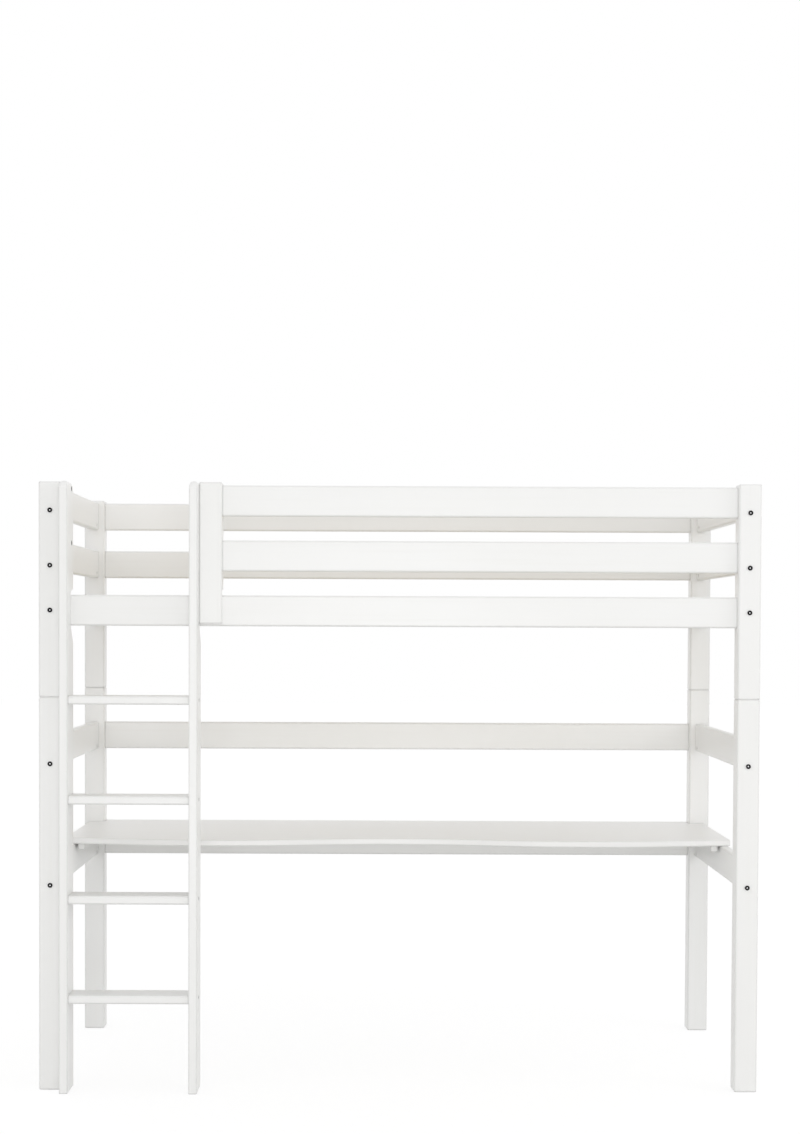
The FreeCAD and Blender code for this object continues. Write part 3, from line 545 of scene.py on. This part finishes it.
def new_piece(name, bm, materials, sharp=SHARP_ANGLE):
    bmesh.ops.recalc_face_normals(bm, faces=bm.faces)
    mesh = bpy.data.meshes.new(name)
    bm.to_mesh(mesh)
    bm.free()
    for material in materials:
        mesh.materials.append(material)
    mesh.shade_smooth()
    mesh.set_sharp_from_angle(angle=sharp)
    piece = bpy.data.objects.new(name, mesh)
    scene.collection.objects.link(piece)
    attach(piece, "root")
    return piece


def turn_group(name, node, rings, materials, inner_rings=0):
    """Round fasteners in place of a group of plain ones."""
    bm = bmesh.new()
    for number, points in enumerate(loose_solids(node)):
        start, direction, length = solid_axis(points)
        add_turned(bm, rings(length), aim(start, direction, number * SPREAD_ANGLE), inner_rings)
    piece = new_piece(name, bm, materials)
    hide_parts(node)


bolt_finishes = [black_bolt, bright_socket]
for bolts in ("end_rail_bolts", "side_rail_bolts", "ladder_bolts"):
    turn_group(f"{bolts}_round", bolts, bolt_rings, bolt_finishes, inner_rings=1)
turn_group("frame_screws_round", "frame_screws", screw_rings, [zinc_steel])
turn_group("barrel_nuts_round", "barrel_nuts", nut_rings, [black_bolt])


# Ladder stiles with rounder edges and domed tops, and the screws that hold the rungs

def rounded(corners):
    """The points of an outline whose corners are (y, z, radius)."""
    points = []
    for number, (y, z, radius) in enumerate(corners):
        corner = Vector((y, z))
        if not radius:
            points.append(corner)
            continue
        before = (Vector(corners[number - 1][:2]) - corner).normalized()
        after = (Vector(corners[(number + 1) % len(corners)][:2]) - corner).normalized()
        half = before.angle(after) / 2
        middle = corner + (before + after).normalized() * radius / math.sin(half)
        start = corner + before * radius / math.tan(half) - middle
        sweep = start.angle_signed(corner + after * radius / math.tan(half) - middle)
        for step in range(ARC_STEPS + 1):
            points.append(middle + Matrix.Rotation(-sweep * step / ARC_STEPS, 2) @ start)
    return points


def stile_outline(low, high):
    """The side of a stile, with round top corners and a sloped notch over the bed rail."""
    rail_y = high.y - STILE_BACK_TO_RAIL
    return rounded([
        (low.y, low.z, 0),
        (high.y, low.z, 0),
        (high.y, NOTCH_LOW, 0),
        (rail_y, NOTCH_FLAT_LOW, NOTCH_ROUND),
        (rail_y, NOTCH_FLAT_HIGH, NOTCH_ROUND),
        (high.y, NOTCH_HIGH, 0),
        (high.y, high.z, STILE_TOP_ROUND),
        (low.y, high.z, STILE_TOP_ROUND),
    ])


def stile_edge_radius(height, top):
    """The radius of a stile's edges, which grows softly over the top corners."""
    share = max(0, (height - top) / STILE_TOP_ROUND + 1)
    return STILE_EDGE_ROUND + (STILE_DOME_ROUND - STILE_EDGE_ROUND) * share ** 2 * (3 - 2 * share)


def inset_ways(outline):
    """For each point of an outline, the way that moves both its edges inward by one."""
    pairs = list(zip(outline, outline[1:] + outline[:1]))
    turn = 1 if sum(first.x * last.y - last.x * first.y for first, last in pairs) > 0 else -1
    sides = []
    for first, last in pairs:
        along = (last - first).normalized()
        sides.append(Vector((-along.y, along.x)) * turn)
    return [(a + b) / (1 + a.dot(b)) for a, b in zip(sides[-1:] + sides[:-1], sides)]


def rounded_board(outline, radii, low_x, high_x):
    """A board between two faces, its edges rounded by a radius at each point of the outline."""
    bm = bmesh.new()
    ways = inset_ways(outline)
    quarters = [QUARTER_TURN * step / EDGE_STEPS for step in range(EDGE_STEPS + 1)]
    rings = []
    for face_x, inward, turns in ((low_x, 1, quarters), (high_x, -1, quarters[::-1])):
        for turn in turns:
            ring = []
            for point, way, radius in zip(outline, ways, radii):
                moved = point + way * radius * (1 - math.sin(turn))
                x = face_x + inward * radius * (1 - math.cos(turn))
                ring.append(bm.verts.new((x, moved.x, moved.y)))
            rings.append(ring)
    for ring, following in zip(rings, rings[1:]):
        for side in range(len(outline)):
            after = (side + 1) % len(outline)
            bm.faces.new((ring[side], ring[after], following[after], following[side]))
    bm.faces.new(rings[0][::-1])
    bm.faces.new(rings[-1])
    bmesh.ops.recalc_face_normals(bm, faces=bm.faces)
    return bm


def cut(bm, cutter):
    """Take a closed mesh away from another."""
    made = []
    for name, source in (("whole", bm), ("tool", cutter)):
        mesh = bpy.data.meshes.new(name)
        source.to_mesh(mesh)
        source.free()
        made.append(bpy.data.objects.new(name, mesh))
        scene.collection.objects.link(made[-1])
    whole, tool = made
    difference = whole.modifiers.new("difference", "BOOLEAN")
    difference.object = tool
    difference.solver = "EXACT"
    bpy.context.view_layer.update()
    result = bmesh.new()
    evaluated = whole.evaluated_get(bpy.context.evaluated_depsgraph_get())
    result.from_mesh(evaluated.to_mesh())
    evaluated.to_mesh_clear()
    for thing in made:
        mesh = thing.data
        bpy.data.objects.remove(thing)
        bpy.data.meshes.remove(mesh)
    return result


def make_stile(node, outward, screws):
    """A stile in place of a plainer one; its rung screws are added to the others."""
    low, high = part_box(node)
    outline = stile_outline(low, high)
    radii = [stile_edge_radius(point.y, high.z) for point in outline]
    board = rounded_board(outline, radii, low.x, high.x)
    outer_x, inner_x = (high.x, low.x) if outward > 0 else (low.x, high.x)
    inward = Vector((-outward, 0, 0))
    mortise = Matrix.Diagonal((2 * MORTISE_LENGTH, MORTISE_DEPTH, MORTISE_THICKNESS, 1))
    rings = screw_rings(RUNG_SCREW_LENGTH, RUNG_SCREW_HEAD_RADIUS)
    cutter = bmesh.new()
    for number in range(1, RUNG_COUNT + 1):
        rung_low, rung_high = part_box(f"ladder_rung_{number}")
        middle = (rung_low + rung_high) / 2
        outer = Vector((outer_x, middle.y, middle.z))
        inner = Vector((inner_x, middle.y, middle.z))
        add_turned(cutter, bore_rings(COUNTERSINK_RADIUS, COUNTERSINK_DEPTH), aim(outer, inward, 0))
        bmesh.ops.create_cube(cutter, size=1, matrix=Matrix.Translation(inner) @ mortise)
        head = outer + inward * RUNG_SCREW_SINK
        add_turned(screws, rings, aim(head, inward, number * SPREAD_ANGLE))
    for points in loose_solids("ladder_bolts"):
        head, direction, _ = solid_axis(points)
        if direction.x == outward:
            add_turned(cutter, bore_rings(COUNTERBORE_RADIUS, BOLT_HEAD_HEIGHT), aim(head, direction, 0))
    bmesh.ops.recalc_face_normals(cutter, faces=cutter.faces)
    shape = cut(board, cutter)
    stile = new_piece(f"{node}_rounded", shape, [lacquer[UPRIGHT]], STILE_SHARP_ANGLE)
    even_normals(stile)
    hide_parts(node)


rung_screws = bmesh.new()
make_stile("ladder_stile_left", -1, rung_screws)
make_stile("ladder_stile_right", 1, rung_screws)
new_piece("rung_screws", rung_screws, [black_bolt])


# Floor, light and camera

def seen_directly(tree):
    """Whether a ray comes straight from the camera, or by way of gloss or glass."""
    path = add_node(tree, "ShaderNodeLightPath")
    seen = path.outputs["Is Camera Ray"]
    for name in ("Is Glossy Ray", "Is Transmission Ray"):
        most = add_node(tree, "ShaderNodeMath", operation="MAXIMUM")
        tree.links.new(seen, most.inputs[0])
        tree.links.new(path.outputs[name], most.inputs[1])
        seen = most.outputs["Value"]
    return seen


def light_or_show(tree, lights, shows):
    """A shader that lights the bed, and another in its place where it is seen."""
    choice = add_node(tree, "ShaderNodeMixShader")
    tree.links.new(seen_directly(tree), choice.inputs["Fac"])
    tree.links.new(lights, choice.inputs[1])
    tree.links.new(shows, choice.inputs[2])
    return choice.outputs["Shader"]


def plain_shader(tree, kind, colour):
    made = add_node(tree, kind)
    made.inputs["Color"].default_value = (*colour, OPAQUE)
    return made


def make_floor():
    mesh = bpy.data.meshes.new("floor")
    ends = ((-1, -1), (1, -1), (1, 1), (-1, 1))
    corners = [(x * FLOOR_REACH, y * FLOOR_REACH, -FLOOR_DROP) for x, y in ends]
    mesh.from_pydata(corners, [], [range(len(corners))])
    floor = bpy.data.objects.new("floor", mesh)
    scene.collection.objects.link(floor)
    paint = bpy.data.materials.new("floor_paint")
    paint.use_nodes = True
    tree = paint.node_tree
    tree.nodes.clear()
    matt = plain_shader(tree, "ShaderNodeBsdfDiffuse", FLOOR_COLOUR)
    shown = plain_shader(tree, "ShaderNodeBsdfDiffuse", FLOOR_SHOWN)
    glow = plain_shader(tree, "ShaderNodeEmission", WHITE)
    glow.inputs["Strength"].default_value = FLOOR_GLOW
    both = add_node(tree, "ShaderNodeAddShader")
    tree.links.new(shown.outputs["BSDF"], both.inputs[0])
    tree.links.new(glow.outputs["Emission"], both.inputs[1])
    surface = light_or_show(tree, matt.outputs["BSDF"], both.outputs["Shader"])
    tree.links.new(surface, add_node(tree, "ShaderNodeOutputMaterial").inputs["Surface"])
    mesh.materials.append(paint)


def make_studio():
    """White all round, with light that is weaker overhead than from the sides."""
    scene.world = bpy.data.worlds.new("studio")
    scene.world.use_nodes = True
    tree = scene.world.node_tree
    tree.nodes.clear()
    sky = plain_shader(tree, "ShaderNodeBackground", WHITE)
    direction = add_node(tree, "ShaderNodeSeparateXYZ")
    tree.links.new(add_node(tree, "ShaderNodeTexCoord").outputs["Generated"], direction.inputs["Vector"])
    tree.links.new(spread(tree, direction.outputs["Z"], SKY_STRENGTH, RISING), sky.inputs["Strength"])
    backdrop = plain_shader(tree, "ShaderNodeBackground", WHITE)
    surface = light_or_show(tree, sky.outputs["Background"], backdrop.outputs["Background"])
    tree.links.new(surface, add_node(tree, "ShaderNodeOutputWorld").inputs["Surface"])


def add_lamp(name, place, size, energy):
    lamp = bpy.data.lights.new(name, "AREA")
    lamp.shape = "SQUARE"
    lamp.size = size
    lamp.energy = energy
    stand = bpy.data.objects.new(name, lamp)
    stand.location = place
    stand.rotation_euler = (LIGHT_TARGET - stand.location).to_track_quat("-Z", "Y").to_euler()
    scene.collection.objects.link(stand)


def make_camera():
    lens = bpy.data.cameras.new("camera")
    lens.sensor_fit = "VERTICAL"
    lens.sensor_height = SENSOR
    lens.lens = FOCAL_PIXELS * SENSOR / PICTURE_HEIGHT
    centre_x, centre_y = CENTRE_PIXEL
    lens.shift_x = (PICTURE_WIDTH / 2 - centre_x) / PICTURE_HEIGHT
    lens.shift_y = (centre_y - PICTURE_HEIGHT / 2) / PICTURE_HEIGHT
    level = math.cos(CAMERA_PITCH)
    forward = Vector((math.sin(CAMERA_YAW) * level, math.cos(CAMERA_YAW) * level, math.sin(CAMERA_PITCH)))
    right = Vector((math.cos(CAMERA_YAW), -math.sin(CAMERA_YAW), 0))
    upward = right.cross(forward)
    rolled_right = math.cos(CAMERA_ROLL) * right + math.sin(CAMERA_ROLL) * upward
    rolled_up = math.cos(CAMERA_ROLL) * upward - math.sin(CAMERA_ROLL) * right
    turned = Matrix((rolled_right, rolled_up, -forward)).transposed()
    camera = bpy.data.objects.new("camera", lens)
    camera.matrix_world = Matrix.Translation(CAMERA_PLACE) @ turned.to_4x4()
    scene.collection.objects.link(camera)
    scene.camera = camera


make_floor()
make_studio()
for lamp_name, lamp_settings in LIGHTS.items():
    add_lamp(lamp_name, **lamp_settings)
make_camera()
scene.view_settings.view_transform = "Standard"
